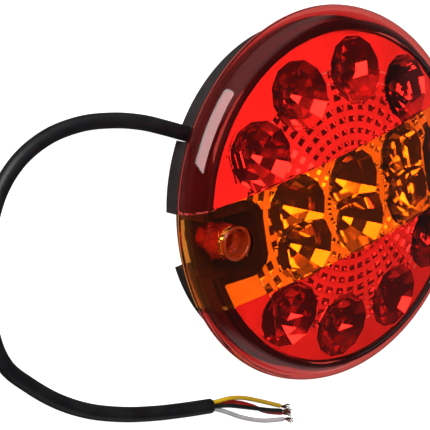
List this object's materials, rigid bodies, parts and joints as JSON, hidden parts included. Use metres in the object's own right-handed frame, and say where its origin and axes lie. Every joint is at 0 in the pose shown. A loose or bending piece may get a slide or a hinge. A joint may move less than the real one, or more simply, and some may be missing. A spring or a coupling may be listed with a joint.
{
  "type": "round trailer tail light",
  "caption": "Round rear lamp with a domed red and amber lens over faceted reflector cups, a black housing with two screw sleeves, and a short cable with bare wire ends.",
  "frame": {"origin": "centre of the rear rim, on the mounting plane", "axes": "+Z out of the lens, +X to the lamp's right along the amber band, +Y towards the upper red part"},
  "size_m": [0.2152, 0.1577, 0.0316],
  "materials": {
    "housing_black": "fine satin moulded ABS",
    "lens_red": "clear red PMMA, polished",
    "lens_amber": "clear amber PMMA, polished",
    "sealant": "black bonding bead",
    "sleeve_red": "clear orange-red PMMA",
    "reflector_metal": "vacuum-metallised plastic",
    "board": "white solder mask",
    "steel": "zinc plated",
    "led_body": "white package",
    "led_dome_red": "clear resin",
    "led_dome_amber": "clear resin",
    "chip_black": "epoxy",
    "chip_tan": "matt ceramic",
    "solder": "bright solder",
    "potting": "cured black resin",
    "rubber_black": "matt",
    "cable_sheath": "satin PVC",
    "wire_yellow": "PVC insulation",
    "wire_black": "PVC insulation",
    "wire_red": "PVC insulation",
    "wire_white": "PVC insulation",
    "copper": "bare copper strands"
  },
  "bodies": {
    "root": {"housing": "housing_black", "lens_red_upper": "lens_red", "lens_red_lower": "lens_red", "lens_amber_band": "lens_amber", "lens_seal": "sealant", "screw_sleeves": "sleeve_red", "reflector": "reflector_metal", "circuit_board": "board", "board_screws": "steel", "red_leds": "led_body", "red_led_domes": "led_dome_red", "amber_leds": "led_body", "amber_led_domes": "led_dome_amber", "resistors": "chip_black", "diodes": "chip_black", "driver_chips": "chip_black", "capacitors": "chip_tan", "solder_pads": "solder", "inner_lead_yellow": "wire_yellow", "inner_lead_black": "wire_black", "inner_lead_red": "wire_red", "inner_lead_white": "wire_white", "entry_potting": "potting", "cable_grommet": "rubber_black", "cable": "cable_sheath", "wire_yellow": "wire_yellow", "wire_black": "wire_black", "wire_red": "wire_red", "wire_white": "wire_white", "copper_strands": "copper"}
  },
  "joints": []
}
